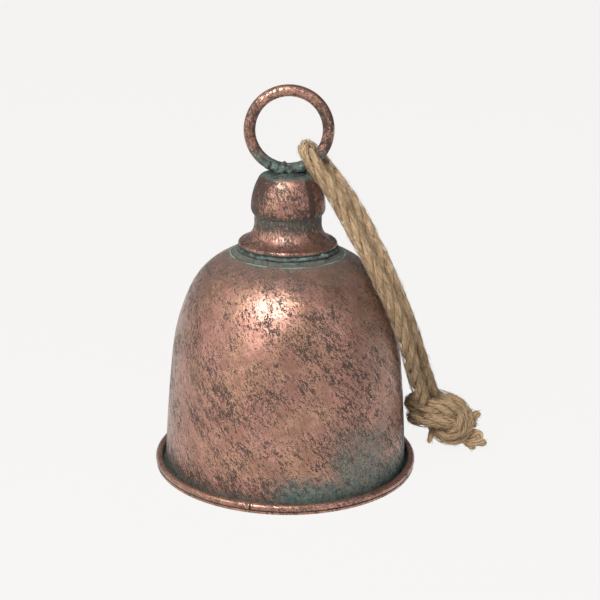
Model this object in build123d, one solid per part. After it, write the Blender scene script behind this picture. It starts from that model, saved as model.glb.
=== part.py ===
from build123d import *
import math
import os

# Yard dinner bell: a spun sheet dome with a wire hoop round its mouth, a hollow turned neck
# with a welded hanging ring, a free clapper inside, and a doubled jute rope hooked over the
# ring and knotted at its end.
#
# Millimetres, +Z up. The origin is on the bell's axis at the plane the mouth stands on.
# +X is the side the rope leans on, -Y is the front, and the hanging ring lies in the XZ plane.

# ---------------------------------------------------------------- driving dimensions

SHEET = 1.2                     # wall of the spun dome, skirt and bulb

# dome
HOOP_WIRE = 1.9                 # wire radius of the hoop round the mouth
MOUTH_R = 70.0                  # outside of the hoop
FLANGE_R = 69.6                 # outside of the flange under the hoop
GUTTER_R = 65.6                 # where the flange turns up into the wall
FOOT_BEND = 1.0                 # bend between the flange and the wall, outside
WALL_LEAN = 2.15                # the wall's lean inwards at its foot, degrees
WALL_ARC = (880.0, 3.98)        # radius and turn of the nearly straight wall
HAUNCH_ARC = (106.0, 18.9)      # radius and turn where the wall starts to close
SHOULDER_ARC = (37.0, 33.3)     # radius and turn of the round shoulder
HOOP_SINK = 0.15                # how far the hoop is brazed into the flange
HOOP_GAP_ANGLE = 255.6          # where the hoop's two ends meet, degrees from +X
HOOP_GAP = 0.7                  # width of that butt joint

# neck
NECK_JOINT_Z = 136.75           # where bulb and skirt meet
WAIST_R = 17.4
WAIST_Z = 132.1
SKIRT_COVE = (9.6, 75.0)        # hollow sweep from the waist outwards
SKIRT_LIP = (1.6, 75.0)         # rounded lip
SKIRT_TUCK = (0.9, 80.0)        # tight curl under the lip
SKIRT_REACH = 8.0               # how far below the crown the skirt's foot is cut to the dome
BULB_FOOT_R = 17.75
BULB_CURL = (5.0, 45.0)         # lower round of the bulb, up to the side's widest
BULB_SIDE = (32.0, 29.0)        # tapering side
BULB_SHOULDER = (3.6, 61.0)     # round into the flat top

# cap, ring and welds
CAP_R = 8.9
CAP_THICK = 0.8
CAP_HUB_R = 6.3
CAP_HUB_DEPTH = 4.5
SEAT_GAP = 0.05                 # clearance of a seat or a bored hole
RING_R = 20.0                   # mean radius of the hanging ring
RING_WIRE = 3.0
RING_Z = 180.2
WELD_HALF_LENGTH = 10.6
WELD_R = 4.6                    # radius of the weld saddle at its middle
WELD_END_R = 2.2
SOLDER_R = 26.2                 # outside of the seam bead at the skirt's foot
SOLDER_RISE = 0.7               # how far that bead's edge stands off the dome
SOLDER_ROUND = 0.3              # bevel along that edge
SOLDER_CLIMB = 1.4              # how much higher the bead is against the skirt
SOLDER_DEPTH = 2.0              # how far the bead's blank reaches below the dome's surface
BLOB_R = 2.4                    # drop of spelter beside the seam
BLOB_OFFSET = 0.6               # how far outside the bead the drop is centred
BLOB_ANGLE = -44.0

# stud and fasteners inside
STUD_R = 3.0
STUD_TOP = 156.5
STUD_BEVEL = 0.5
STUD_GRIP = 1.0                 # room between the stud's lower end and the eye
CROWN_HOLE_R = 3.2
WASHER_R = 10.0
WASHER_THICK = 1.6
LOCK_R = 5.2
LOCK_THICK = 1.4
LOCK_SPLIT = 14.0               # open angle of the split washer
NUT_FLATS = 10.0
NUT_HEIGHT = 5.0
NUT_BEVEL = 0.12                # bevel of a nut's corners, as a share of its height
FIT = 0.02                      # gap between stacked pieces
CUT = 5.0                       # how far a cutter runs past the wall that it cuts

# clapper
EYE_R = 6.0                     # mean radius of the eye
EYE_WIRE = 2.0
EYE_BOSS_R = 4.5
EYE_BOSS_HEIGHT = 7.5
EYE_DROP = 13.0                 # from the boss's top to the eye's centre
LINK_R = 4.0                    # mean radius of the link's round ends
LINK_WIRE = 1.25
LINK_STRAIGHT = 8.0
LOOP_R = 4.5                    # mean radius of the loop at the rod's top
ROD_R = 1.75
ROD_BEVEL = 0.4
PLAY = 0.1                      # clearance where wire hangs on wire
BALL_R = 11.0
BALL_Z = 22.0
BALL_FLAT = 10.4                # height of the flats that the nuts bear on
BALL_NUT_FLATS = 7.0
BALL_NUT_HEIGHT = 3.0
ROD_END_Z = 7.0

# rope
ROPE_R = 4.0
HOOK_BEND = 7.45                # bend where the rope goes round the ring's wire
ROPE_ROUTE = [
    (75.5, 8.5, 27.0),
    (68.5, -3.0, 48.0),
    (62.8, -14.5, 70.5),
    (55.2, -21.5, 91.5),
    (45.3, -19.0, 111.5),
    (33.2, -13.4, 132.0),
    (22.3, -9.8, 151.5),
    (7.9, -7.6, 170.3),
    (9.2, 7.7, 171.3),
    (23.2, 7.6, 154.8),
    (34.8, 1.2, 139.8),
    (44.3, -5.0, 123.3),
    (52.4, -10.0, 106.8),
    (59.8, -11.6, 90.0),
    (66.8, -7.0, 71.5),
    (73.5, 4.0, 51.0),
    (80.0, 15.5, 31.0),
]
HOOK_CORNERS = (7, 8)           # the route's points beside the ring's wire
BEND_SHARE = 0.45               # share of the shorter run that a bend takes up
KNOT_CENTRE = (85.9, 14.5, 18.4)
KNOT_HALF_LENGTH = 20.5
KNOT_HALF_WIDTH = 15.0
KNOT_SLOPE = 18.0               # the knot's long axis dips outwards by this angle
UPPER_END = ((98.0, 15.5, 20.5), (106.6, 16.0, 20.0), 3.2)
FRAYED_END = ((96.0, 13.0, 12.0), (107.2, 11.8, 4.4), 4.0)
YARN_END = ((77.4, 6.4, 16.5), (78.4, 5.6, 8.0), 1.6)


# ---------------------------------------------------------------- helpers

def arc_run(start, heading, steps):
    """Tangent arcs from start; each step is (radius, turn), and a positive turn goes left."""
    edges = []
    point = Vector(start[0], start[1])
    direction = Vector(1, 0).rotate(Axis.Z, heading)
    for radius, turn in steps:
        arc = JernArc(point, direction, radius, turn)
        edges.append(arc)
        point = arc @ 1
        direction = arc % 1
    return edges, point


def turned(edges, bottom_z, top_z):
    """Solid of revolution under an outline of (radius, height), closed to the axis."""
    outline = Wire(edges)
    first = edges[0] @ 0
    last = edges[-1] @ 1
    closing = [
        Line((last.X, last.Y), (0, top_z)),
        Line((0, top_z), (0, bottom_z)),
        Line((0, bottom_z), (first.X, first.Y)),
    ]
    if abs(last.X) < 1e-6:
        closing = closing[1:]
    face = make_face(outline.edges() + closing)
    return revolve(Plane.XZ * face, Axis.Z)


def disc(radius, low, high, hole=0.0):
    """Round plate or rod between two heights, with an optional round hole."""
    body = Pos(0, 0, (low + high) / 2) * Cylinder(radius, high - low)
    if hole:
        body -= Pos(0, 0, (low + high) / 2) * Cylinder(hole, high - low + CUT)
    return body


def hexagon_nut(flats, low, high, hole):
    """Hexagon nut with its corners turned off on both faces."""
    height = high - low
    corner = flats / math.sqrt(3)
    sketch = RegularPolygon(corner, 6)
    body = Pos(0, 0, low) * extrude(sketch, height)
    trim = chamfer(Cylinder(corner, height).edges(), height * NUT_BEVEL)
    body &= Pos(0, 0, low + height / 2) * trim
    body -= Pos(0, 0, low + height / 2) * Cylinder(hole, height + CUT)
    return body


def wire_ring(mean_radius, wire_radius, height):
    """Closed ring of round wire in the XZ plane, centred on the bell's axis."""
    return Pos(0, 0, height) * Rot(90, 0, 0) * Torus(mean_radius, wire_radius)


def rope_end(base, tip, radius):
    """Stub of rope with a rounded end, from base to tip."""
    line = Line(base, tip)
    plane = Plane(origin=base, z_dir=line % 0)
    body = plane * extrude(Circle(radius), line.length)
    return body + Pos(*tip) * Sphere(radius)


# ---------------------------------------------------------------- dome

def dome_outline(inset):
    """Outline of the dome's sheet, from the flange's foot to the crown."""
    foot_turn = WALL_LEAN - 90.0
    steps = [(FOOT_BEND + inset, foot_turn)]
    steps.append((WALL_ARC[0] - inset, WALL_ARC[1]))
    steps.append((HAUNCH_ARC[0] - inset, HAUNCH_ARC[1]))
    steps.append((SHOULDER_ARC[0] - inset, SHOULDER_ARC[1]))
    edges, end = arc_run((GUTTER_R, SHEET - inset), 180.0, steps)
    left = 90.0 - WALL_LEAN - WALL_ARC[1] - HAUNCH_ARC[1] - SHOULDER_ARC[1]
    crown_radius = end.X / math.sin(math.radians(left))
    edges.append(JernArc(end, edges[-1] % 1, crown_radius, left))
    return edges


DOME_OUTSIDE = dome_outline(0.0)
DOME_INSIDE = dome_outline(SHEET)
CROWN_TOP = (DOME_OUTSIDE[-1] @ 1).Y
CROWN_UNDER = (DOME_INSIDE[-1] @ 1).Y
CROWN_TOP_R = DOME_OUTSIDE[-1].radius
CROWN_UNDER_R = DOME_INSIDE[-1].radius


def dome_filled():
    """The dome's outside shape, solid to the axis, down to the top of the flange."""
    return turned(DOME_OUTSIDE, SHEET, CROWN_TOP)


def bell_shell():
    """Spun dome with its mouth turned out into a flat flange."""
    body = dome_filled() + disc(FLANGE_R, 0, SHEET)
    body -= turned(DOME_INSIDE, 0, CROWN_UNDER)
    body -= disc(CROWN_HOLE_R, CROWN_UNDER - CUT, CROWN_TOP + CUT)
    return body


def rim_hoop():
    """Round wire bent to a hoop on the flange, its two ends nearly meeting."""
    mean = MOUTH_R - HOOP_WIRE
    height = SHEET + HOOP_WIRE - HOOP_SINK
    section = Plane.XZ * Pos(mean, height) * Circle(HOOP_WIRE)
    open_angle = math.degrees(HOOP_GAP / mean)
    hoop = revolve(section, Axis.Z, 360.0 - open_angle)
    return Rot(0, 0, HOOP_GAP_ANGLE + open_angle / 2) * hoop


# ---------------------------------------------------------------- neck

def skirt_outline(inset):
    """Outline of the skirt from its top rim to the lip."""
    top = (WAIST_R - inset, NECK_JOINT_Z)
    waist = (WAIST_R - inset, WAIST_Z)
    steps = [(SKIRT_COVE[0] + inset, SKIRT_COVE[1]), (SKIRT_LIP[0] - inset, -SKIRT_LIP[1])]
    arcs, end = arc_run(waist, -90.0, steps)
    return [Line(top, waist)] + arcs, end


def skirt_tuck():
    """The curl under the skirt's lip, and the point where it meets the upright foot."""
    lip = skirt_outline(0.0)[1]
    return arc_run((lip.X, lip.Y), -90.0, [(SKIRT_TUCK[0], -SKIRT_TUCK[1])])


def neck_skirt():
    """Flared foot of the neck, with a curled lip over a short upright foot on the dome."""
    edges = skirt_outline(0.0)[0]
    tuck, under = skirt_tuck()
    foot_z = CROWN_TOP - SKIRT_REACH
    edges += tuck + [Line(under, (under.X, foot_z))]
    inner, inner_lip = skirt_outline(SHEET)
    inner_foot_r = under.X - SHEET
    inner.append(Line(inner_lip, (inner_foot_r, under.Y)))
    inner.append(Line((inner_foot_r, under.Y), (inner_foot_r, foot_z)))
    body = turned(edges, NECK_JOINT_Z, foot_z) - turned(inner, NECK_JOINT_Z, foot_z)
    return body - dome_filled()


def bulb_outline(inset):
    """Outline of the bulb from its foot to the flat top."""
    corner = inset * math.sin(math.radians(BULB_CURL[1]))
    foot = (BULB_FOOT_R - corner, NECK_JOINT_Z)
    start = (foot[0], NECK_JOINT_Z + corner)
    steps = [(BULB_CURL[0] - inset, BULB_CURL[1])]
    steps.append((BULB_SIDE[0] - inset, BULB_SIDE[1]))
    steps.append((BULB_SHOULDER[0] - inset, BULB_SHOULDER[1]))
    arcs, end = arc_run(start, 90.0 - BULB_CURL[1], steps)
    if inset:
        arcs = [Line(foot, start)] + arcs
    return arcs, end.Y


BULB_TOP = bulb_outline(0.0)[1]


def neck_bulb():
    """Hollow bulb with a flat top and a round hole for the cap's hub."""
    outer, top = bulb_outline(0.0)
    inner, inner_top = bulb_outline(SHEET)
    body = turned(outer, NECK_JOINT_Z, top) - turned(inner, NECK_JOINT_Z, inner_top)
    return body - disc(CAP_HUB_R + SEAT_GAP, top - CUT, top + CUT)


def skirt_solder():
    """Bead of spelter round the skirt's foot, with one drop run out beside it."""
    foot_r = skirt_tuck()[1].X
    dome_z = CROWN_TOP - CROWN_TOP_R + math.sqrt(CROWN_TOP_R ** 2 - SOLDER_R ** 2)
    low = dome_z - SOLDER_DEPTH
    edge_z = dome_z + SOLDER_RISE
    points = [
        (foot_r, low),
        (SOLDER_R, low),
        (SOLDER_R, edge_z - SOLDER_ROUND),
        (SOLDER_R - SOLDER_ROUND, edge_z),
        (foot_r, edge_z + SOLDER_CLIMB),
    ]
    face = make_face(Polyline(*points, close=True))
    bead = revolve(Plane.XZ * face, Axis.Z)
    angle = math.radians(BLOB_ANGLE)
    blob_r = SOLDER_R + BLOB_OFFSET
    blob = Pos(blob_r * math.cos(angle), blob_r * math.sin(angle), dome_z) * Sphere(BLOB_R)
    blob -= disc(foot_r, low, edge_z + CUT)
    return bead + blob - dome_filled()


# ---------------------------------------------------------------- cap and ring

def cap_plate():
    """Stepped plug in the bulb's top, tapped for the stud and notched for the ring."""
    hub_low = BULB_TOP - CAP_HUB_DEPTH
    body = disc(CAP_R, BULB_TOP, BULB_TOP + CAP_THICK) + disc(CAP_HUB_R, hub_low, BULB_TOP)
    body -= disc(STUD_R + FIT, hub_low - CUT, STUD_TOP + FIT)
    return body - wire_ring(RING_R, RING_WIRE + SEAT_GAP, RING_Z)


def hanging_ring():
    """Ring of round wire that the bell is hung from."""
    return wire_ring(RING_R, RING_WIRE, RING_Z)


def ring_weld():
    """Saddle of weld metal that joins the ring to the cap, thick in the middle."""
    base = BULB_TOP + CAP_THICK
    middle = (0, base + WELD_R)
    left = (-WELD_HALF_LENGTH, base + WELD_END_R)
    right = (WELD_HALF_LENGTH, base + WELD_END_R)
    edges = [
        ThreePointArc(left, middle, right),
        Line(right, (WELD_HALF_LENGTH, base)),
        Line((WELD_HALF_LENGTH, base), (-WELD_HALF_LENGTH, base)),
        Line((-WELD_HALF_LENGTH, base), left),
    ]
    face = Plane.XZ * make_face(edges)
    barrel = revolve(face, Axis((0, 0, base), (1, 0, 0)))
    side = 4 * WELD_HALF_LENGTH
    return barrel & Pos(0, 0, base + side / 2) * Box(side, side, side)


# ---------------------------------------------------------------- stud and fasteners

WASHER_TOP = CROWN_UNDER - CROWN_UNDER_R + math.sqrt(CROWN_UNDER_R ** 2 - WASHER_R ** 2) - FIT
LOCK_TOP = WASHER_TOP - WASHER_THICK - FIT
NUT_TOP = LOCK_TOP - LOCK_THICK - FIT
BOSS_TOP = NUT_TOP - NUT_HEIGHT - FIT
EYE_Z = BOSS_TOP - EYE_DROP
STUD_FOOT = EYE_Z + EYE_R + STUD_GRIP


def tie_stud():
    """Threaded stud that pulls the cap, bulb and skirt down on the dome."""
    body = disc(STUD_R, STUD_FOOT, STUD_TOP)
    return chamfer(body.edges().filter_by(GeomType.CIRCLE), STUD_BEVEL)


def crown_washer():
    """Broad flat washer under the crown."""
    return disc(WASHER_R, WASHER_TOP - WASHER_THICK, WASHER_TOP, CROWN_HOLE_R)


def lock_washer():
    """Split spring washer."""
    section = Plane.XZ * Pos((CROWN_HOLE_R + LOCK_R) / 2, LOCK_TOP - LOCK_THICK / 2) * Rectangle(
        LOCK_R - CROWN_HOLE_R, LOCK_THICK
    )
    return revolve(section, Axis.Z, 360.0 - LOCK_SPLIT)


def tie_nut():
    """Nut that tightens the neck from inside the bell."""
    return hexagon_nut(NUT_FLATS, NUT_TOP - NUT_HEIGHT, NUT_TOP, STUD_R + FIT)


def clapper_eye():
    """Eye nut on the stud's lower end, its eye facing front and back."""
    boss = disc(EYE_BOSS_R, BOSS_TOP - EYE_BOSS_HEIGHT, BOSS_TOP)
    body = boss + wire_ring(EYE_R, EYE_WIRE, EYE_Z)
    return body - disc(STUD_R + FIT, STUD_FOOT - FIT, BOSS_TOP + CUT)


# ---------------------------------------------------------------- clapper

LINK_TOP_Z = EYE_Z - (EYE_R - EYE_WIRE - LINK_WIRE - PLAY) - LINK_R
LINK_LOW_Z = LINK_TOP_Z - LINK_STRAIGHT
LOOP_Z = LINK_LOW_Z - LINK_R + LINK_WIRE + ROD_R + PLAY - LOOP_R


def clapper_link():
    """Oval wire link that hangs in the eye, lying in the YZ plane."""
    section_r = LINK_WIRE
    leg = Pos(0, LINK_R, (LINK_TOP_Z + LINK_LOW_Z) / 2) * Cylinder(section_r, LINK_STRAIGHT)
    other = Pos(0, -LINK_R, (LINK_TOP_Z + LINK_LOW_Z) / 2) * Cylinder(section_r, LINK_STRAIGHT)
    ring = Rot(0, 90, 0) * Torus(LINK_R, section_r)
    half = Box(4 * LINK_R, 4 * LINK_R, 2 * LINK_R)
    upper = ring & Pos(0, 0, LINK_R) * half
    lower = ring & Pos(0, 0, -LINK_R) * half
    return leg + other + Pos(0, 0, LINK_TOP_Z) * upper + Pos(0, 0, LINK_LOW_Z) * lower


def clapper_rod():
    """Wire rod with a closed loop at its top."""
    top = LOOP_Z - LOOP_R
    rod = disc(ROD_R, ROD_END_Z, top)
    rod = chamfer(rod.edges().sort_by(Axis.Z)[0], ROD_BEVEL)
    return rod + wire_ring(LOOP_R, ROD_R, LOOP_Z)


def clapper_ball():
    """Iron ball, flat above and below where the nuts bear, and bored for the rod."""
    body = Pos(0, 0, BALL_Z) * Sphere(BALL_R)
    body &= Pos(0, 0, BALL_Z) * Box(3 * BALL_R, 3 * BALL_R, 2 * BALL_FLAT)
    return body - disc(ROD_R + SEAT_GAP, 0, 2 * BALL_Z)


def clapper_nuts():
    """The two small nuts that hold the ball on the rod."""
    upper_low = BALL_Z + BALL_FLAT + FIT
    lower_high = BALL_Z - BALL_FLAT - FIT
    hole = ROD_R + SEAT_GAP
    upper = hexagon_nut(BALL_NUT_FLATS, upper_low, upper_low + BALL_NUT_HEIGHT, hole)
    lower = hexagon_nut(BALL_NUT_FLATS, lower_high - BALL_NUT_HEIGHT, lower_high, hole)
    return Compound([upper.solid(), lower.solid()])


# ---------------------------------------------------------------- rope

def bend_radii(points):
    """Bend at each inner point, as wide as its two runs allow, and tight round the ring."""
    radii = []
    for i in range(1, len(points) - 1):
        before = Vector(*points[i]) - Vector(*points[i - 1])
        after = Vector(*points[i + 1]) - Vector(*points[i])
        half_turn = math.radians(before.get_angle(after)) / 2
        radius = BEND_SHARE * min(before.length, after.length) / math.tan(half_turn)
        radii.append(HOOK_BEND if i in HOOK_CORNERS else radius)
    return radii


def rope_loop():
    """Rope from the knot up to the ring, round its wire and back down to the knot."""
    radii = bend_radii(ROPE_ROUTE)
    path = FilletPolyline(*ROPE_ROUTE, radius=radii)
    section = Plane(origin=path @ 0, z_dir=path % 0) * Circle(ROPE_R)
    tube = sweep(section, path=path)
    print("rope bend radii:", [round(radius, 1) for radius in radii])
    print("rope length:", round(path.length, 1))
    print("volume over section times length:", tube.volume / (math.pi * ROPE_R ** 2 * path.length))
    return tube


def rope_knot():
    """Plain outer form of the big knot that joins the rope's two ends."""
    half = make_face([
        EllipticalCenterArc((0, 0), KNOT_HALF_LENGTH, KNOT_HALF_WIDTH, 0, arc_size=180),
        Line((-KNOT_HALF_LENGTH, 0), (KNOT_HALF_LENGTH, 0)),
    ])
    body = revolve(half, Axis.X)
    return Pos(*KNOT_CENTRE) * Rot(0, KNOT_SLOPE, 0) * body


# ---------------------------------------------------------------- write the parts

NODES = {
    "bell_shell": bell_shell,
    "rim_hoop": rim_hoop,
    "neck_skirt": neck_skirt,
    "neck_bulb": neck_bulb,
    "skirt_solder": skirt_solder,
    "cap_plate": cap_plate,
    "hanging_ring": hanging_ring,
    "ring_weld": ring_weld,
    "tie_stud": tie_stud,
    "crown_washer": crown_washer,
    "lock_washer": lock_washer,
    "tie_nut": tie_nut,
    "clapper_eye": clapper_eye,
    "clapper_link": clapper_link,
    "clapper_rod": clapper_rod,
    "clapper_ball": clapper_ball,
    "clapper_nuts": clapper_nuts,
    "rope_loop": rope_loop,
    "rope_knot": rope_knot,
    "rope_end_upper": lambda: rope_end(*UPPER_END),
    "rope_end_frayed": lambda: rope_end(*FRAYED_END),
    "rope_end_yarn": lambda: rope_end(*YARN_END),
}

os.makedirs("parts", exist_ok=True)
for name, build in NODES.items():
    export_step(build(), f"parts/{name}.step")
print("eye centre height:", round(EYE_Z, 3), " link pivot height:", round(LINK_LOW_Z, 3))
print("crown:", round(CROWN_TOP, 3), round(CROWN_UNDER, 3), " bulb top:", round(BULB_TOP, 3))
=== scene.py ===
import math
import random

import bpy
import numpy as np
from mathutils import Matrix, Vector, noise


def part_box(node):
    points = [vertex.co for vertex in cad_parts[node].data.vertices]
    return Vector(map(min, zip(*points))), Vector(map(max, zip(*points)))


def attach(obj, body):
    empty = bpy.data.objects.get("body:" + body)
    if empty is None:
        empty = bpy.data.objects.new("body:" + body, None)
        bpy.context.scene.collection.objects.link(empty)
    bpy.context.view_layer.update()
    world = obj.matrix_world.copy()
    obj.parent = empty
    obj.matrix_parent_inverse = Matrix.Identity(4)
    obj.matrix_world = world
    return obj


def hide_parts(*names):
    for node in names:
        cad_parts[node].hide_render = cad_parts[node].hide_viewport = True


# Yard dinner bell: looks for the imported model. Metres, +Z up, in the model's own frame.

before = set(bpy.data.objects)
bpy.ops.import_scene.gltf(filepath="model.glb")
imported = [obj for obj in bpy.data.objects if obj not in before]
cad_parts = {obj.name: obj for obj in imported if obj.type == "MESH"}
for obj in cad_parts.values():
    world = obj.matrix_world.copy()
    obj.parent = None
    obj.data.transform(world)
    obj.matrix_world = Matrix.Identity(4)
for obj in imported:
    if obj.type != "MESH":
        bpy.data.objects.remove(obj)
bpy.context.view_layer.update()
scene = bpy.context.scene
MM = 0.001


# ---------------------------------------------------------------- camera

CAMERA_PLACE = (0.0, -0.7012, 0.3169)
CAMERA_PITCH = math.radians(17.94)
CAMERA_ROLL = math.radians(0.68)
SENSOR_MM = 36.0
LENS_MM = 84.28
LENS_SHIFT_X = 0.0215


def add_camera():
    """Camera in front of the bell, looking a little down on it."""
    data = bpy.data.cameras.new("camera")
    data.sensor_width = SENSOR_MM
    data.lens = LENS_MM
    data.shift_x = LENS_SHIFT_X
    camera = bpy.data.objects.new("camera", data)
    scene.collection.objects.link(camera)
    tilt = Matrix.Rotation(math.pi / 2 - CAMERA_PITCH, 4, "X")
    roll = Matrix.Rotation(CAMERA_ROLL, 4, "Z")
    camera.matrix_world = Matrix.Translation(CAMERA_PLACE) @ (tilt @ roll)
    scene.camera = camera


add_camera()


# ---------------------------------------------------------------- lines and frames

SPLINE_RESOLUTION = 16


def spline_points(name, route):
    """Points of the smooth NURBS line that has the route's points as its controls."""
    curve = bpy.data.curves.new(name, "CURVE")
    curve.dimensions = "3D"
    curve.resolution_u = SPLINE_RESOLUTION
    spline = curve.splines.new("NURBS")
    spline.points.add(len(route) - 1)
    for point, place in zip(spline.points, route):
        point.co = (*place, 1.0)
    spline.order_u = 3
    spline.use_endpoint_u = True
    holder = bpy.data.objects.new(name, curve)
    mesh = bpy.data.meshes.new_from_object(holder)
    points = np.array([vertex.co for vertex in mesh.vertices], float)
    bpy.data.objects.remove(holder)
    bpy.data.curves.remove(curve)
    bpy.data.meshes.remove(mesh)
    return points


def distances(points):
    """How far along the line each of its points is."""
    runs = np.linalg.norm(np.diff(points, axis=0), axis=1)
    return np.concatenate([[0.0], np.cumsum(runs)])


def read_at(places, along, vectors):
    """Vectors known at some distances along a line, read at the distances in places."""
    return np.stack([np.interp(places, along, vectors[:, k]) for k in range(3)], axis=1)


def even_steps(points, step):
    """The same line with its points an even step apart."""
    along = distances(points)
    count = max(4, int(round(along[-1] / step)) + 1)
    return read_at(np.linspace(0.0, along[-1], count), along, points)


def frames_along(points):
    """Two unit vectors across the line at each point, carried along it without twist."""
    tangents = np.gradient(points, axis=0)
    tangents /= np.linalg.norm(tangents, axis=1)[:, None]
    across = np.array((0.0, 0.0, 1.0))
    spare = np.array((1.0, 0.3, 0.2))
    normals = []
    for tangent in tangents:
        across = across - tangent * across.dot(tangent)
        if np.linalg.norm(across) < 1e-6:
            across = spare - tangent * tangent.dot(spare)
        across = across / np.linalg.norm(across)
        normals.append(across)
    normals = np.array(normals)
    return normals, np.cross(tangents, normals)


def turned(angles, normals, sideways):
    """Unit vectors across a line, turned by an angle at each point."""
    return np.cos(angles)[:, None] * normals + np.sin(angles)[:, None] * sideways


def smooth_noise(rng, count, spacing):
    """A smooth random curve of values about -1 to 1, with the given spacing between its turns."""
    knots = max(4, int(count / spacing) + 3)
    values = rng.uniform(-1.0, 1.0, knots)
    places = np.linspace(0.0, knots - 1.001, count)
    base = places.astype(int)
    part = places - base
    part = part * part * (3 - 2 * part)
    return values[base] * (1 - part) + values[base + 1] * part


# ---------------------------------------------------------------- yarn meshes

# Laid cord: each radius is a share of the radius of the rope or strand that it is in.
STRAND_R = 0.450
STRAND_RING_R = 0.540
STRAND_TWIST = -0.62  # against the rope's lay, as a share of its pitch
YARN_R = 0.335
YARN_RING_R = 0.665
TONE = 0.5
GRAIN_SHIFT = (0.37, 3.1)  # moves each yarn to its own place in the grain's noise
FIBRE_STEPS = 6
SHORTEST_FIBRE = 0.0006


class Yarns:
    """Collects round yarns and fibres into one mesh, with data that the jute material reads."""

    def __init__(self, seed):
        self.rng = np.random.default_rng(seed)
        self.points = []
        self.faces = []
        self.tones = []
        self.grain = []
        self.total = 0
        self.made = 0

    def tube(self, line, radius, tone, sides=6):
        """One yarn along a line; radius is a number or one value for each point."""
        count = len(line)
        radius = np.broadcast_to(np.asarray(radius, float), (count,))
        normals, sideways = frames_along(line)
        angles = np.arange(sides) * 2 * math.pi / sides
        ring = (
            np.cos(angles)[None, :, None] * normals[:, None, :]
            + np.sin(angles)[None, :, None] * sideways[:, None, :]
        )
        body = line[:, None, :] + ring * radius[:, None, None]
        grain = np.zeros((count, sides, 3))
        grain[:, :, 0] = (distances(line) + self.made * GRAIN_SHIFT[0])[:, None]
        grain[:, :, 1] = np.cos(angles)[None, :] + self.made * GRAIN_SHIFT[1]
        grain[:, :, 2] = np.sin(angles)[None, :]
        self.points.append(body.reshape(-1, 3))
        self.grain.append(grain.reshape(-1, 3))
        self.tones.append(np.full(count * sides, tone))
        base = self.total
        for i in range(count - 1):
            low = base + i * sides
            for k in range(sides):
                after = (k + 1) % sides
                self.faces.append((low + k, low + after, low + sides + after, low + sides + k))
        self.faces.append(tuple(base + k for k in reversed(range(sides))))
        last = base + (count - 1) * sides
        self.faces.append(tuple(last + k for k in range(sides)))
        self.total += count * sides
        self.made += 1

    def strand(self, line, radius, phase, pitch, yarns=7, taper=0.0, spread=1.0):
        """One strand: a ring of yarns twisted about a line.

        taper is the length over which the far end closes, and spread widens the yarns' wander.
        """
        count = len(line)
        normals, sideways = frames_along(line)
        along = distances(line)
        closing = np.ones(count)
        if taper:
            closing = np.sqrt(np.clip((along[-1] - along) / taper, 0.02, 1.0))
        ring_r = radius * YARN_RING_R * closing
        for k in range(yarns):
            turn = phase + k * 2 * math.pi / yarns + along * 2 * math.pi / pitch
            turn = turn + 0.22 * smooth_noise(self.rng, count, 14)
            wander = 1.0 + spread * 0.12 * smooth_noise(self.rng, count, 9)
            path = line + turned(turn, normals, sideways) * (ring_r * wander)[:, None]
            thick = radius * YARN_R * closing * (1.0 + 0.16 * smooth_noise(self.rng, count, 6))
            self.tube(path, thick, TONE + 0.22 * self.rng.uniform(-1, 1))

    def rope(self, line, radius, pitch, phase):
        """Three strands laid round a line."""
        count = len(line)
        normals, sideways = frames_along(line)
        along = distances(line)
        for k in range(3):
            turn = phase + k * 2 * math.pi / 3 + along * 2 * math.pi / pitch
            turn = turn + 0.18 * smooth_noise(self.rng, count, 22)
            ring_r = radius * STRAND_RING_R * (1.0 + 0.06 * smooth_noise(self.rng, count, 16))
            path = line + turned(turn, normals, sideways) * ring_r[:, None]
            self.strand(path, radius * STRAND_R, k * 1.3, pitch * STRAND_TWIST)

    def surface_fibres(self, line, radius, count, length, thick, lift):
        """Loose fibres that lie on a rope and stand off it by up to lift at their tips."""
        normals, sideways = frames_along(line)
        along = distances(line)
        share = np.linspace(0.0, 1.0, FIBRE_STEPS)
        for _ in range(count):
            run = self.rng.uniform(*length)
            start = self.rng.uniform(0.0, along[-1])
            way = self.rng.choice((-1.0, 1.0))
            reach = np.linspace(0.0, run, FIBRE_STEPS)
            places = np.clip(start + way * reach, 0.0, along[-1])
            angle = self.rng.uniform(0, 2 * math.pi)
            drift = self.rng.normal(0.0, 0.7)
            out = turned(
                angle + drift * share,
                read_at(places, along, normals),
                read_at(places, along, sideways),
            )
            rise = lift * self.rng.uniform(0.2, 1.0) * share ** 1.4
            off = radius * self.rng.uniform(0.93, 1.02) + rise
            path = read_at(places, along, line) + out * off[:, None]
            path += self.rng.normal(0.0, 0.00007, path.shape)
            if np.linalg.norm(path[-1] - path[0]) < SHORTEST_FIBRE:
                continue
            fine = thick * np.linspace(1.0, 0.4, FIBRE_STEPS)
            self.tube(path, fine, 0.60 + 0.70 * self.rng.uniform(-1, 1), sides=3)

    def build(self, name):
        """The mesh object of everything collected."""
        mesh = bpy.data.meshes.new(name)
        mesh.from_pydata(np.concatenate(self.points).tolist(), [], self.faces)
        tone = mesh.attributes.new("tone", "FLOAT", "POINT")
        tone.data.foreach_set("value", np.concatenate(self.tones).astype(np.float32))
        grain = mesh.attributes.new("grain", "FLOAT_VECTOR", "POINT")
        grain.data.foreach_set("vector", np.concatenate(self.grain).astype(np.float32).ravel())
        mesh.shade_smooth()
        piece = bpy.data.objects.new(name, mesh)
        scene.collection.objects.link(piece)
        return piece


# ---------------------------------------------------------------- rope

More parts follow.
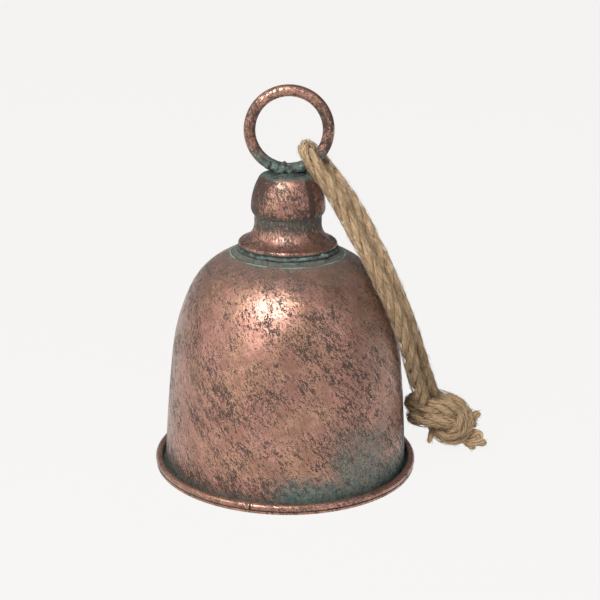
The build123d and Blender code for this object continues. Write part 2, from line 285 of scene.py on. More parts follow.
ROPE_RADIUS = 0.004
ROPE_PITCH = 0.037
ROPE_STEP = 0.0012
ROPE_ROUTE = [
    (0.0755, 0.0085, 0.0270),
    (0.0685, -0.0030, 0.0480),
    (0.0628, -0.0145, 0.0705),
    (0.0552, -0.0215, 0.0915),
    (0.0453, -0.0190, 0.1115),
    (0.0332, -0.0134, 0.1320),
    (0.0223, -0.0098, 0.1515),
    (0.0079, -0.0076, 0.1703),
    (0.0092, 0.0077, 0.1713),
    (0.0232, 0.0076, 0.1548),
    (0.0348, 0.0012, 0.1398),
    (0.0443, -0.0050, 0.1233),
    (0.0524, -0.0100, 0.1068),
    (0.0598, -0.0116, 0.0900),
    (0.0668, -0.0070, 0.0715),
    (0.0735, 0.0040, 0.0510),
    (0.0800, 0.0155, 0.0310),
]

# The knot is laid out in millimetres: to the right, up its own leaning plane, and out of it.
KNOT_CENTRE = Vector((0.0859, 0.0145, 0.0184))
KNOT_LEAN = math.radians(17.9)
KNOT_AXES = (
    Vector((1.0, 0.0, 0.0)),
    Vector((0.0, math.sin(KNOT_LEAN), math.cos(KNOT_LEAN))),
    Vector((0.0, -math.cos(KNOT_LEAN), math.sin(KNOT_LEAN))),
)
KNOT_ROPE_R = 0.0043
KNOT_PITCH = 0.036
KNOT_STEP = 0.001
END_STEP = 0.0006
FIBRE_THICK = 0.00013
FUZZ_THICK = 0.00006
OUTER_TURN = [
    (-6.6, 14.5, 4.2), (-5.5, 9.0, 1.5), (-4.5, 1.0, 0.0), (-3.5, -5.5, 1.0), (-1.0, -8.8, 2.5),
    (5.0, -11.2, 4.0), (11.0, -8.6, 4.0), (13.4, -2.5, 3.5), (11.9, 4.0, 3.0), (6.8, 8.4, 3.0),
    (0.5, 10.4, 1.5), (-5.0, 11.2, -3.0), (-10.0, 10.2, -8.0), (-16.4, 8.6, -4.0),
    (-17.4, 7.4, 4.0), (-11.0, 7.2, 12.0), (-1.0, 6.6, 13.0), (6.0, 4.2, 9.5), (9.6, 1.6, 3.0),
    (13.0, 0.6, 0.0), (16.6, 0.4, -1.0),
]
INNER_TURN = [
    (-8.5, 7.5, 9.0), (-6.0, 1.0, 5.0), (-3.0, -4.6, 5.0), (2.0, -7.6, 7.0), (6.3, -7.0, 9.0),
    (8.6, -3.0, 9.0), (7.0, 1.5, 8.0), (3.0, 3.8, 6.0), (-2.0, 3.8, 0.0), (-6.0, 2.2, -7.0),
    (-12.0, 1.2, -8.0), (-15.8, 0.6, -2.0), (-15.0, 0.2, 5.5), (-9.0, -0.4, 11.5),
    (-1.0, -0.6, 12.5), (4.0, -1.5, 9.0), (7.0, -5.0, 4.0), (10.0, -8.6, 1.0), (13.6, -10.0, 0.0),
]
UPPER_STRANDS = [
    [(15.0, 0.8, -1.0), (18.5, 1.8, -0.5), (21.5, 2.2, -0.5)],
    [(15.0, -0.5, 0.5), (17.5, -0.8, 0.5), (19.6, 0.2, 0.6)],
    [(14.5, -1.0, -2.0), (17.5, -3.0, -1.5), (18.6, -5.4, -1.0)],
]
FRAYED_STRANDS = [
    [(13.0, -9.5, 0.5), (17.5, -8.0, 1.0), (21.2, -9.0, 1.2), (20.4, -12.4, 1.0)],
    [(12.5, -11.0, 0.0), (18.0, -13.2, 1.5), (22.0, -13.2, 1.2), (24.6, -14.0, 1.0)],
    [(11.5, -11.8, 0.0), (15.0, -14.0, 1.0), (18.2, -17.0, 1.0)],
]
YARN_STRAND = [(-4.8, -5.0, 3.0), (-6.6, -9.5, 2.0), (-7.0, -14.2, 2.0)]


def knot_place(point):
    """A point of the knot's own layout, in the model's frame."""
    place = KNOT_CENTRE.copy()
    for amount, axis in zip(point, KNOT_AXES):
        place += axis * amount * MM
    return tuple(place)


def knot_line(route, step=KNOT_STEP):
    """Even points along the smooth line through the knot's own layout."""
    return even_steps(spline_points("knot_line", [knot_place(p) for p in route]), step)


def add_rope():
    """The doubled rope from the knot over the ring and back, as laid strands of yarn."""
    centre = spline_points("rope_line", ROPE_ROUTE)
    line = even_steps(centre, ROPE_STEP)
    yarns = Yarns(11)
    yarns.rope(line, ROPE_RADIUS, ROPE_PITCH, phase=0.6)
    yarns.surface_fibres(line, ROPE_RADIUS, 2300, (0.003, 0.010), FIBRE_THICK, lift=0.0005)
    return yarns.build("jute_rope"), line


def add_knot():
    """The overhand knot of both rope ends."""
    yarns = Yarns(23)
    for route, phase in ((OUTER_TURN, 0.3), (INNER_TURN, 1.9)):
        line = knot_line(route)
        yarns.rope(line, KNOT_ROPE_R, KNOT_PITCH, phase=phase)
        yarns.surface_fibres(line, KNOT_ROPE_R, 700, (0.003, 0.009), FIBRE_THICK, lift=0.0005)
    return yarns.build("jute_knot")


def add_end(name, routes, radius, seed):
    """A cut rope end whose strands have come apart."""
    yarns = Yarns(seed)
    for k, route in enumerate(routes):
        line = knot_line(route, END_STEP)
        yarns.strand(line, radius, k * 2.0, -0.02, yarns=6, taper=0.0022, spread=2.0)
        yarns.surface_fibres(line, radius * 0.9, 26, (0.003, 0.008), 0.00007, lift=0.0009)
    return yarns.build(name)


def add_fuzz(line):
    """Fine fibres that stand off the rope and the knot."""
    yarns = Yarns(37)
    yarns.surface_fibres(line, ROPE_RADIUS, 1300, (0.002, 0.008), FUZZ_THICK, lift=0.0018)
    for route in (OUTER_TURN, INNER_TURN):
        line = knot_line(route)
        yarns.surface_fibres(line, KNOT_ROPE_R, 380, (0.002, 0.007), FUZZ_THICK, lift=0.0016)
    return yarns.build("jute_fuzz")


rope, rope_line = add_rope()
knot = add_knot()
upper_end = add_end("jute_end_upper", UPPER_STRANDS, 0.0022, 51)
frayed_end = add_end("jute_end_frayed", FRAYED_STRANDS, 0.0023, 61)
yarn_end = add_end("jute_end_yarn", [YARN_STRAND], 0.0016, 71)
fuzz = add_fuzz(rope_line)
STANDS_FOR = {
    "rope_loop": rope,
    "rope_knot": knot,
    "rope_end_upper": upper_end,
    "rope_end_frayed": frayed_end,
    "rope_end_yarn": yarn_end,
}
for node, piece in STANDS_FOR.items():
    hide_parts(node)
for piece in (*STANDS_FOR.values(), fuzz):
    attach(piece, "rope")


# ---------------------------------------------------------------- weld metal

def lumpy(name, places, voxel, relax, rough, seed):
    """One closed lump of weld metal from overlapping drops of (centre, radius).

    voxel is the remesh's grain, relax the rounds of smoothing and rough the height of the lumps.
    """
    bpy.ops.mesh.primitive_ico_sphere_add(subdivisions=3, radius=1.0)
    ball = bpy.context.object
    corners = np.array([v.co for v in ball.data.vertices])
    sides = [tuple(p.vertices) for p in ball.data.polygons]
    bpy.data.objects.remove(ball)
    points = []
    faces = []
    for k, (centre, radius) in enumerate(places):
        base = k * len(corners)
        points.append(corners * radius + np.array(centre))
        faces += [tuple(base + v for v in side) for side in sides]
    mesh = bpy.data.meshes.new(name)
    mesh.from_pydata(np.concatenate(points).tolist(), [], faces)
    piece = bpy.data.objects.new(name, mesh)
    scene.collection.objects.link(piece)
    remesh = piece.modifiers.new("remesh", "REMESH")
    remesh.mode = "VOXEL"
    remesh.voxel_size = voxel
    smooth = piece.modifiers.new("smooth", "SMOOTH")
    smooth.iterations = relax
    evaluated = piece.evaluated_get(bpy.context.evaluated_depsgraph_get())
    piece.data = bpy.data.meshes.new_from_object(evaluated)
    piece.modifiers.clear()
    piece.data.name = name
    for vertex in piece.data.vertices:
        shift = noise.fractal(vertex.co * 900.0 + Vector((seed, 0, 0)), 1.0, 2.0, 3)
        vertex.co += vertex.normal * shift * rough
    piece.data.shade_smooth()
    return piece


WELD_REACH = 31.0  # degrees of the ring, to each side of its foot
WELD_DROPS = 26
SPATTER_DROPS = 16
SEAM_DROPS = 330


def add_ring_weld():
    """Weld beads that bury the foot of the hanging ring on the cap."""
    rng = random.Random(5)
    low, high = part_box("ring_weld")
    ring_low, ring_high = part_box("hanging_ring")
    wire = (ring_high.y - ring_low.y) / 2
    mean = (ring_high.z - ring_low.z) / 2 - wire
    centre_z = (ring_high.z + ring_low.z) / 2
    places = []
    for i in range(WELD_DROPS):
        angle = math.radians(-WELD_REACH + 2 * WELD_REACH * i / (WELD_DROPS - 1))
        x = mean * math.sin(angle)
        z = centre_z - mean * math.cos(angle)
        for side in (-1, 1):
            radius = wire * rng.uniform(0.72, 0.88)
            y = side * wire * rng.uniform(0.36, 0.55)
            drop = rng.uniform(0.0, 0.7) * MM
            places.append(((x, y, max(z - drop, low.z + 0.5 * radius)), radius))
        places.append(((x, 0.0, z), wire * 1.02))
    for _ in range(SPATTER_DROPS):
        x = rng.uniform(low.x, high.x) * 0.75
        y = rng.choice((-1, 1)) * rng.uniform(2.6, 3.5) * MM
        places.append(((x, y, low.z + rng.uniform(0.4, 1.0) * MM), rng.uniform(0.9, 1.6) * MM))
    places.append(((-0.0022, -0.0006, centre_z - mean + 0.0029), 0.0011))
    return lumpy("weld_bead", places, 0.00034, 4, 0.00022, 3.0)


def add_skirt_seam():
    """Soldered seam round the skirt's foot, uneven, with one run at the front right."""
    rng = random.Random(8)
    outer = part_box("skirt_solder")[1].y
    corners = np.array([v.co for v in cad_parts["skirt_solder"].data.vertices])
    across = np.hypot(corners[:, 0], corners[:, 1])
    inner = float(across.min())
    edge_z = float(corners[across < inner + 0.0002, 2].max())
    foot_z = float(corners[across > outer - 0.0002, 2].max())
    places = []
    for i in range(SEAM_DROPS):
        angle = 2 * math.pi * i / SEAM_DROPS
        sway = noise.noise(Vector((math.cos(angle) * 3, math.sin(angle) * 3, 4.0)))
        r = inner + 0.0007 + 0.0004 * sway
        places.append(((r * math.cos(angle), r * math.sin(angle), edge_z - 0.0011), 0.00085))
        r = outer - 0.0011 + 0.00015 * sway
        radius = 0.0008 + 0.00010 * rng.uniform(-1, 1)
        places.append(((r * math.cos(angle), r * math.sin(angle), foot_z - 0.0009), radius))
    drop = math.radians(-46.0)
    for r, size in ((outer - 0.0006, 0.0016), (outer + 0.0006, 0.0013), (outer - 0.0016, 0.0016)):
        places.append(((r * math.cos(drop), r * math.sin(drop), foot_z - 0.0006), size))
        drop += 0.05
    return lumpy("skirt_seam", places, 0.0004, 3, 0.00016, 9.0)


weld = add_ring_weld()
seam = add_skirt_seam()
for piece, node in ((weld, "ring_weld"), (seam, "skirt_solder")):
    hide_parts(node)
    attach(piece, "bell")


# ---------------------------------------------------------------- clapper details

THREAD_PITCH = 0.0007
THREAD_DEPTH = 0.00022
THREAD_STEPS = 20  # points in one turn


def add_rod_thread():
    """Rolled thread on the rod's lower end, below the nuts."""
    low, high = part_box("clapper_rod")
    nuts_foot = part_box("clapper_nuts")[0].z
    rod_r = (high.y - low.y) / 2
    start = low.z + 0.0005
    turns = (nuts_foot - start) / THREAD_PITCH
    steps = int(turns * THREAD_STEPS)
    angle = np.linspace(0, 2 * math.pi * turns, steps)
    line = np.stack([
        (rod_r - THREAD_DEPTH * 0.4) * np.cos(angle),
        (rod_r - THREAD_DEPTH * 0.4) * np.sin(angle),
        start + angle / (2 * math.pi) * THREAD_PITCH,
    ], axis=1)
    crest = np.minimum(THREAD_DEPTH, np.linspace(0.2, 6, steps) * THREAD_DEPTH)
    helper = Yarns(1)
    helper.tube(line, crest, TONE, sides=4)
    return helper.build("rod_thread")


thread = add_rod_thread()
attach(thread, "clapper")


# ---------------------------------------------------------------- materials

class Shader:
    """Adds nodes to one material and links their sockets."""

    def __init__(self, name):
        self.material = bpy.data.materials.new(name)
        self.material.use_nodes = True
        self.tree = self.material.node_tree
        self.tree.nodes.clear()
        self.surface = self.node("ShaderNodeBsdfPrincipled")
        output = self.node("ShaderNodeOutputMaterial")
        self.tree.links.new(self.surface.outputs["BSDF"], output.inputs["Surface"])
        self.place = self.node("ShaderNodeTexCoord").outputs["Object"]
        self.x, self.y, self.z = self.split(self.place)

    def node(self, kind, **settings):
        made = self.tree.nodes.new(kind)
        for name, value in settings.items():
            setattr(made, name, value)
        return made

    def put(self, socket, value):
        if isinstance(value, bpy.types.NodeSocket):
            self.tree.links.new(value, socket)
        elif isinstance(value, (tuple, list)) and socket.type == "RGBA":
            socket.default_value = (*value[:3], 1.0)
        else:
            socket.default_value = value

    def split(self, vector):
        node = self.node("ShaderNodeSeparateXYZ")
        self.put(node.inputs[0], vector)
        return node.outputs[0], node.outputs[1], node.outputs[2]

    def join(self, x, y, z):
        node = self.node("ShaderNodeCombineXYZ")
        for socket, value in zip(node.inputs, (x, y, z)):
            self.put(socket, value)
        return node.outputs[0]

    def math(self, operation, a, b=0.0, clamp=False):
        node = self.node("ShaderNodeMath", operation=operation, use_clamp=clamp)
        self.put(node.inputs[0], a)
        self.put(node.inputs[1], b)
        return node.outputs[0]

    def product(self, *values):
        result = values[0]
        for value in values[1:]:
            result = self.math("MULTIPLY", result, value)
        return result

    def total(self, *values):
        result = values[0]
        for value in values[1:]:
            result = self.math("ADD", result, value)
        return result

    def largest(self, *values):
        result = values[0]
        for value in values[1:]:
            result = self.math("MAXIMUM", result, value)
        return result

    def step(self, value, low, high):
        """0 below low, 1 above high, smooth between; low above high turns it round."""
        node = self.node("ShaderNodeMapRange", interpolation_type="SMOOTHSTEP")
        self.put(node.inputs["Value"], value)
        if low > high:
            low, high = high, low
            node.inputs["To Min"].default_value = 1.0
            node.inputs["To Max"].default_value = 0.0
        node.inputs["From Min"].default_value = low
        node.inputs["From Max"].default_value = high
        return node.outputs["Result"]

    def mix(self, factor, a, b):
        """a where factor is 0 and b where it is 1, for colours."""
        node = self.node("ShaderNodeMix", data_type="RGBA")
        self.put(node.inputs["Factor"], factor)
        self.put(node.inputs[6], a)
        self.put(node.inputs[7], b)
        return node.outputs[2]

    def blend(self, factor, a, b):
        """a where factor is 0 and b where it is 1, for numbers."""
        node = self.node("ShaderNodeMix", data_type="FLOAT")
        self.put(node.inputs[0], factor)
        self.put(node.inputs[2], a)
        self.put(node.inputs[3], b)
        return node.outputs[0]

    def noise(self, vector, scale, detail=2.0, rough=0.5, distortion=0.0):
        node = self.node("ShaderNodeTexNoise")
        self.put(node.inputs["Vector"], vector)
        node.inputs["Scale"].default_value = scale
        node.inputs["Detail"].default_value = detail
        node.inputs["Roughness"].default_value = rough
        node.inputs["Distortion"].default_value = distortion
        return node.outputs[0]

    def moved(self, vector, shift=(0, 0, 0), scale=(1, 1, 1)):
        node = self.node("ShaderNodeMapping")
        self.put(node.inputs["Vector"], vector)
        node.inputs["Location"].default_value = shift
        node.inputs["Scale"].default_value = scale
        return node.outputs[0]

    def twisted(self, per_metre):
        """Object coordinates turned about the axis in step with height, for slanting marks."""
        node = self.node("ShaderNodeVectorRotate", rotation_type="Z_AXIS")
        self.put(node.inputs["Vector"], self.place)
        self.put(node.inputs["Angle"], self.product(self.z, per_metre))
        return node.outputs[0]

    def radius(self):
        """Distance from the bell's axis."""
        squares = self.total(self.math("POWER", self.x, 2.0), self.math("POWER", self.y, 2.0))
        return self.math("SQRT", squares)

    def bump(self, height, strength, distance):
        node = self.node("ShaderNodeBump")
        self.put(node.inputs["Height"], height)
        node.inputs["Strength"].default_value = strength
        node.inputs["Distance"].default_value = distance
        self.tree.links.new(node.outputs[0], self.surface.inputs["Normal"])

    def finish(self, color, rough, metal=None):
        self.put(self.surface.inputs["Base Color"], color)
        self.put(self.surface.inputs["Roughness"], rough)
        if metal is not None:
            self.put(self.surface.inputs["Metallic"], metal)
        return self.material


ROSE = (0.588, 0.300, 0.230)
TAN = (0.550, 0.308, 0.203)
DEEP = (0.300, 0.138, 0.095)
FLECK = (0.028, 0.015, 0.011)
GRIME = (0.105, 0.098, 0.085)
VERDIGRIS = (0.066, 0.118, 0.102)
VERDIGRIS_LIGHT = (0.200, 0.330, 0.285)
VERDIGRIS_DARK = (0.018, 0.030, 0.028)
WELD_DARK = (0.030, 0.036, 0.034)
WELD_GREEN = (0.100, 0.140, 0.122)
IRON_PIT = (0.012, 0.010, 0.009)
JUTE_SHADE = (0.110, 0.058, 0.025)
JUTE_MAIN = (0.430, 0.285, 0.158)
JUTE_PALE = (0.720, 0.545, 0.345)
JUTE_SPECK = (0.090, 0.048, 0.024)


def copper(name, seed, green=None, grime=None, dark=None, seam=None, density=0.0):
    """Antique copper finish. seed moves its pattern, and density adds dark flecks everywhere.

    The optional functions give masks from a Shader: verdigris, grey film, denser flecks (in
    places painted shade) and a soldered seam (with painted shade and a painted highlight).
    """
    s = Shader(name)
    shift = (seed * 1.7, seed * 0.9, seed * 2.3)
    place = s.moved(s.place, shift)
    slant = s.moved(s.twisted(9.0), shift, (1.0, 1.0, 0.5))

    # Rose and tan metal with deeper clouds.
    cloud = s.noise(place, 42.0, 3.0, 0.55)
    cloud_small = s.noise(s.moved(place, (3, 1, 2)), 150.0, 4.0, 0.65)
    hue = s.noise(s.moved(place, (7, 2, 5)), 60.0, 2.0, 0.5)
    color = s.mix(s.step(hue, 0.38, 0.62), ROSE, TAN)
    color = s.mix(s.product(s.step(cloud_small, 0.60, 0.36), 0.75), color, DEEP)

    # Dark flecks, denser in smears and along thin veins.
    thick = s.noise(slant, 820.0, 5.0, 0.75, 0.4)
    fine = s.noise(place, 2100.0, 3.0, 0.7)
    marks = s.total(s.product(thick, 0.50), s.product(fine, 0.50))
    veins = s.noise(s.moved(slant, (5, 4, 1)), 330.0, 4.0, 0.62, 0.8)
    veins = s.step(s.math("ABSOLUTE", s.math("SUBTRACT", veins, 0.5)), 0.030, 0.006)
    smear = s.noise(s.moved(s.twisted(16.0), shift, (1.0, 1.0, 0.28)), 150.0, 4.0, 0.6, 0.6)
    local = s.total(s.product(cloud_small, 0.40), s.product(cloud, 0.25), s.product(smear, 0.35))
    local = s.product(s.math("SUBTRACT", local, 0.5), 0.62)
    level = s.total(marks, local, density, s.product(veins, 0.045))
    if dark is not None:
        # denser flecks; on the ring, the skirt and the dome's right side these are painted shade
        level = s.total(level, s.product(dark(s), 0.10))
    fleck = s.product(s.step(level, 0.493, 0.556), 0.95)
    color = s.mix(fleck, color, FLECK)
    rough = s.blend(fleck, s.total(s.product(cloud_small, 0.16), 0.26), 0.62)
    metal = s.blend(fleck, 0.94, 0.25)
    relief = s.total(s.product(thick, 0.30), s.product(fine, 0.22))
    height = s.math("SUBTRACT", s.product(cloud, 0.4), s.product(fleck, 0.18))
    height = s.total(height, relief)

    if grime is not None:
        film = s.math("MULTIPLY", grime(s), s.step(marks, 0.38, 0.60), clamp=True)
        film = s.product(film, 0.85)
        color = s.mix(film, color, GRIME)
        rough = s.blend(film, rough, 0.66)
        metal = s.blend(film, metal, 0.3)
    if green is not None:
        mask = s.product(green(s), s.step(fine, 0.30, 0.52))
        tone = s.noise(place, 420.0, 4.0, 0.7)
        crust = s.mix(s.step(tone, 0.36, 0.56), VERDIGRIS_DARK, VERDIGRIS)
        crust = s.mix(s.step(tone, 0.60, 0.74), crust, VERDIGRIS_LIGHT)
        color = s.mix(mask, color, crust)
        rough = s.blend(mask, rough, 0.80)
        metal = s.blend(mask, metal, 0.0)
        height = s.total(height, s.product(tone, mask, 0.22))
    if seam is not None:
        crease, edge = seam(s)
        # painted shade in the seam's crease and a painted highlight along its edge, both in
        # verdigris tones
        color = s.mix(crease, color, VERDIGRIS_DARK)
        color = s.mix(edge, color, VERDIGRIS_LIGHT)
        metal = s.blend(s.largest(crease, edge), metal, 0.0)
    s.bump(height, 0.5, 0.0010)
    s.put(s.surface.inputs["Coat Weight"], s.blend(fleck, 0.74, 0.05))
    s.surface.inputs["Coat Roughness"].default_value = 0.32
    return s.finish(color, rough, metal)


# Masks for the copper finish. Heights, radii and reaches are in metres.

def ragged(s, value, low, high, reach=0.004, scale=240.0):
    """A step on a distance whose edge is ragged by about reach."""
    edge = s.noise(s.place, scale, 4.0, 0.7)
    edge = s.product(s.math("SUBTRACT", edge, 0.5), reach * 2)
    return s.step(s.total(value, edge), low, high)


def around(s, degrees, half_width):
    """1 in the direction given from the axis, falling to 0 at half_width, in degrees."""
    angle = math.radians(degrees)
    along = s.total(s.product(s.x, math.cos(angle)), s.product(s.y, math.sin(angle)))
    cosine = s.math("DIVIDE", along, s.radius())
    return s.step(cosine, math.cos(math.radians(half_width)), 1.0)


def on_wall(s):
    """1 on the dome's wall, 0 out on the flange and the hoop."""
    return s.step(s.radius(), 0.0672, 0.0662)


def on_crown(s):
    """1 on the dome's top, 0 lower down."""
    return s.step(s.z, 0.10, 0.11)


SHELL_MIDDLE_Z = 0.05


def inside_of_shell(s):
    """1 on faces that look towards the axis, 0 on the outside."""
    normal = s.node("ShaderNodeNewGeometry").outputs["Normal"]
    centre = s.join(s.x, s.y, s.math("SUBTRACT", s.z, SHELL_MIDDLE_Z))
    dot = s.node("ShaderNodeVectorMath", operation="DOT_PRODUCT")
    s.put(dot.inputs[0], normal)
    s.put(dot.inputs[1], centre)
    return s.math("LESS_THAN", dot.outputs["Value"], 0.0)


def shell_green(s):
    """Along the wall's foot, up a patch at the front right, and round the neck."""
    foot = s.product(ragged(s, s.z, 0.0090, 0.0030, 0.0060), 0.70)
    side = s.math("MULTIPLY", around(s, -46.0, 58.0), 2.4, clamp=True)
    side = s.product(side, ragged(s, s.z, 0.0200, 0.0090, 0.0090, 160.0))
    patch = s.product(around(s, -52.0, 22.0), ragged(s, s.z, 0.050, 0.020, 0.02, 110.0))
    right = s.product(around(s, -40.0, 17.0), s.step(s.z, 0.058, 0.078))
    neck = s.product(ragged(s, s.radius(), 0.0345, 0.0285, 0.004), 0.50)
    neck = s.largest(neck, s.product(s.step(s.radius(), 0.0299, 0.0292), 0.90))
    low = s.product(s.largest(foot, side, s.product(patch, 0.90)), on_wall(s))
    return s.largest(low, s.product(right, 0.14), s.product(neck, on_crown(s)))


def shell_seam_shade_and_highlight(s):
    """Crease and edge where the skirt's solder ends on the dome: dark verdigris with painted
    shade in the crease, and light verdigris with a painted highlight along the edge.
    """
    r = s.total(s.radius(), s.product(s.noise(s.place, 260.0, 3.0, 0.6), 0.0006))
    broken = s.product(on_crown(s), s.step(s.noise(s.place, 90.0), 0.36, 0.50))
    crease = s.product(s.step(r, 0.02915, 0.02940), s.step(r, 0.02990, 0.02965))
    edge = s.product(s.step(r, 0.02970, 0.02995), s.step(r, 0.03050, 0.03020))
    return s.product(crease, 0.9), s.product(edge, broken, 0.9)


def shell_grime(s):
    """On the crown, down the left edge, and all over the inside."""
    crown = s.product(ragged(s, s.radius(), 0.052, 0.030, 0.012, 90.0), s.step(s.z, 0.09, 0.1))
    edge = s.product(around(s, 186.0, 30.0), 0.6)
    return s.largest(crown, edge, inside_of_shell(s))


def shell_flecks_and_shade(s):
    """Denser flecks down the right side (patina with a painted shadow of the rope), along the
    wall's foot (patina), and over most of the inside.
    """
    # painted shadow of the rope mixed with patina down the right side
    side = s.product(around(s, 0.0, 26.0), 0.45)
    foot = s.product(s.step(s.z, 0.020, 0.006), on_wall(s), 0.6)
    return s.largest(side, foot, s.product(inside_of_shell(s), 2.0))


def hoop_green(s):
    """On the hoop's inner side, in the corner with the flange."""
    return s.product(ragged(s, s.radius(), 0.0676, 0.0664, 0.0012), 0.9)


def skirt_green(s):
    """At the skirt's foot and in its waist."""
    foot = ragged(s, s.z, 0.1218, 0.1206, 0.0009)
    waist = s.product(ragged(s, s.z, 0.1270, 0.1350, 0.004), 0.42)
    return s.largest(s.product(foot, 0.80), waist)


def skirt_painted_shade(s):
    """Painted shade: denser dark flecks in the waist under the bulb and in the shadow under the
    curled lip.
    """
    waist = s.product(s.step(s.z, 0.1280, 0.1330), 0.7)
    return s.largest(waist, s.step(s.z, 0.1212, 0.1204))


def bulb_green(s):
    """Round the cap and in the line under the bulb."""
    cap = ragged(s, s.z, 0.1562, 0.1574, 0.0008)
    return s.largest(cap, ragged(s, s.z, 0.1384, 0.1374, 0.0009))


def bulb_dark(s):
    """A streak at the front right, the left side, and the bulb's lower part."""
    streak = s.product(around(s, -50.0, 9.0), 1.3)
    left = s.product(around(s, 196.0, 56.0), 1.1)
    low = s.product(s.step(s.z, 0.1450, 0.1390), 0.6)
    return s.largest(streak, left, low)


def ring_green(s):
    """Near the weld."""
    return ragged(s, s.z, 0.1720, 0.1640, 0.004)


def ring_painted_shade(s):
    """Painted shade: denser dark flecks everywhere but along the ring's top, which is left
    lighter as the lit side.
    """
    return s.product(s.step(s.z, 0.1990, 0.1900), 0.60)


def weld_metal():
    """Weld metal and solder under dull blue-green verdigris."""
    s = Shader("weld_verdigris")
    tone = s.noise(s.place, 420.0, 4.0, 0.65)
    color = s.mix(s.step(tone, 0.42, 0.60), WELD_DARK, WELD_GREEN)
    color = s.mix(s.step(tone, 0.60, 0.74), color, VERDIGRIS_LIGHT)
    rough = s.total(s.product(tone, 0.4), 0.36)
    s.bump(s.noise(s.place, 1100.0, 4.0, 0.65), 0.8, 0.0006)
    return s.finish(color, rough, s.product(tone, 0.5))


def iron(name, scale, colour_low, colour_high, rough, metal, depth):
    """Oxidised iron with pits and lighter rubbed places; depth is the relief's, in metres."""
    s = Shader(name)
    cloud = s.noise(s.place, scale, 4.0, 0.6)
    pits = s.noise(s.place, scale * 4.5, 4.0, 0.65)
    color = s.mix(s.step(cloud, 0.35, 0.68), colour_low, colour_high)
    color = s.mix(s.step(pits, 0.58, 0.70), color, IRON_PIT)
    s.bump(s.total(cloud, s.product(pits, 0.5)), 0.5, depth)
    return s.finish(color, s.total(s.product(pits, 0.3), rough), metal)


def jute():
    """Jute yarn: streaks of fibre along each yarn, and yarns of differing tone."""
    s = Shader("jute")
    tone = s.node("ShaderNodeAttribute", attribute_name="tone").outputs["Fac"]
    grain = s.node("ShaderNodeAttribute", attribute_name="grain").outputs["Vector"]
    streak = s.noise(s.moved(grain, (0, 0, 0), (420.0, 2.6, 2.6)), 1.0, 5.0, 0.70)
    patch = s.noise(s.place, 120.0, 3.0, 0.6)
    speck = s.noise(s.place, 1300.0, 2.0, 0.6)
    value = s.total(s.product(streak, 0.66), s.product(tone, 0.26), s.product(patch, 0.22))
    color = s.mix(s.step(value, 0.36, 0.58), JUTE_SHADE, JUTE_MAIN)
    color = s.mix(s.step(value, 0.56, 0.76), color, JUTE_PALE)
    color = s.mix(s.product(s.step(speck, 0.57, 0.66), 0.65), color, JUTE_SPECK)
    s.bump(s.total(streak, s.product(speck, 0.5)), 0.6, 0.0005)
    s.surface.inputs["Sheen Weight"].default_value = 0.15
    s.surface.inputs["Specular IOR Level"].default_value = 0.25
    return s.finish(color, 0.88)


def paint(node, material):
    """Gives a CAD node or a piece its material."""
    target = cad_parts.get(node) or bpy.data.objects[node]
    if target.material_slots:
        for slot in target.material_slots:
            slot.material = material
    else:
        target.data.materials.append(material)


paint("bell_shell", copper("bell_copper", 1.0, shell_green, shell_grime, shell_flecks_and_shade, shell_seam_shade_and_highlight))
paint("rim_hoop", copper("hoop_copper", 2.0, hoop_green, density=-0.01))
paint("neck_skirt", copper("skirt_copper", 3.0, skirt_green, dark=skirt_painted_shade, density=0.03))
paint("neck_bulb", copper("bulb_copper", 4.0, bulb_green, dark=bulb_dark))
paint("hanging_ring", copper("ring_copper", 5.0, ring_green, dark=ring_painted_shade, density=-0.03))
verdigris = weld_metal()
for name in ("cap_plate", "weld_bead", "skirt_seam"):
    paint(name, verdigris)
dark_iron = iron(
    "dark_iron", scale=300.0, colour_low=(0.040, 0.030, 0.024), colour_high=(0.150, 0.115, 0.090),
    rough=0.42, metal=0.75, depth=0.0003,
)
for name in (
    "tie_stud", "crown_washer", "lock_washer", "tie_nut", "clapper_eye", "clapper_link",
    "clapper_rod", "clapper_nuts", "rod_thread",
):
    paint(name, dark_iron)
paint("clapper_ball", iron(
    "ball_iron", scale=160.0, colour_low=(0.030, 0.026, 0.023), colour_high=(0.11, 0.09, 0.075),
    rough=0.5, metal=0.6, depth=0.0008,
))
jute_material = jute()
for piece in (*STANDS_FOR.values(), fuzz):
    paint(piece.name, jute_material)


# ---------------------------------------------------------------- floor, light and world

FLOOR_HALF = 6.0
FLOOR_DROP = 0.0002  # keeps the floor clear of the flange's underside
FLOOR_GLOW = 0.985


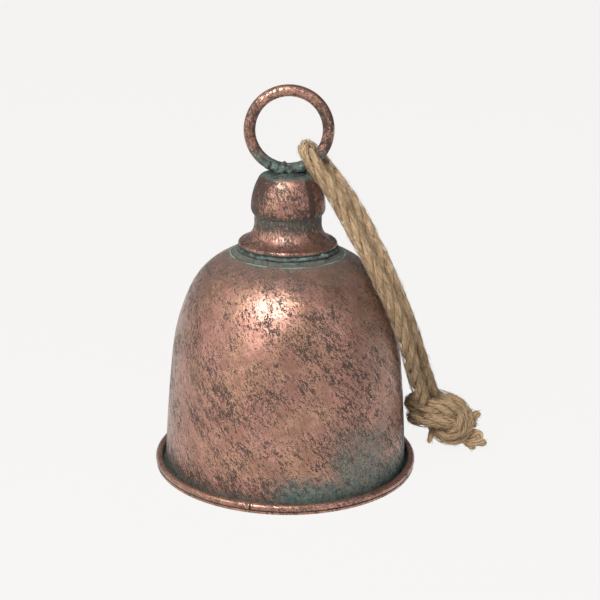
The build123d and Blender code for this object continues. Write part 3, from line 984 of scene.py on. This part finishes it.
def add_floor():
    """Wide pale floor that glows, as a lit studio table does."""
    side = FLOOR_HALF
    mesh = bpy.data.meshes.new("floor")
    corners = [(-side, -side, 0), (side, -side, 0), (side, side, 0), (-side, side, 0)]
    mesh.from_pydata(corners, [], [(0, 1, 2, 3)])
    floor = bpy.data.objects.new("floor", mesh)
    floor.location.z = -FLOOR_DROP
    scene.collection.objects.link(floor)
    s = Shader("floor")
    s.surface.inputs["Emission Color"].default_value = (0.905, 0.897, 0.885, 1.0)
    s.surface.inputs["Emission Strength"].default_value = FLOOR_GLOW
    s.surface.inputs["Specular IOR Level"].default_value = 0.0
    s.finish((0.028, 0.0278, 0.0272), 1.0)
    mesh.materials.append(s.material)


BELL_MIDDLE = Vector((0.0, 0.0, 0.1))


def add_light(name, place, size, power, colour=(1.0, 1.0, 1.0)):
    """A square softbox that faces the bell."""
    data = bpy.data.lights.new(name, "AREA")
    data.shape = "SQUARE"
    data.size = size
    data.energy = power
    data.color = colour
    light = bpy.data.objects.new(name, data)
    scene.collection.objects.link(light)
    light.location = place
    light.rotation_euler = (BELL_MIDDLE - Vector(place)).to_track_quat("-Z", "Y").to_euler()


def add_world():
    """Studio surroundings, pale on the left and dim on the right."""
    world = bpy.data.worlds.new("studio")
    scene.world = world
    world.use_nodes = True
    tree = world.node_tree
    background = tree.nodes["Background"]
    direction = tree.nodes.new("ShaderNodeTexCoord").outputs["Generated"]
    split = tree.nodes.new("ShaderNodeSeparateXYZ")
    tree.links.new(direction, split.inputs[0])
    ramp = tree.nodes.new("ShaderNodeMapRange")
    ramp.inputs["From Min"].default_value = -0.9
    ramp.inputs["From Max"].default_value = 0.8
    ramp.inputs["To Min"].default_value = 0.44
    ramp.inputs["To Max"].default_value = 0.10
    tree.links.new(split.outputs[0], ramp.inputs["Value"])
    background.inputs["Color"].default_value = (0.96, 0.955, 0.945, 1.0)
    tree.links.new(ramp.outputs["Result"], background.inputs["Strength"])


add_floor()
add_light("key", (-0.38, -0.80, 0.98), 0.62, 21.0, (1.0, 0.998, 0.992))
add_light("fill", (-1.1, -0.3, 0.45), 0.8, 0.7)
add_light("front", (0.86, -0.80, 0.55), 0.6, 2.4)
add_world()
scene.view_settings.view_transform = "Standard"
scene.view_settings.look = "None"
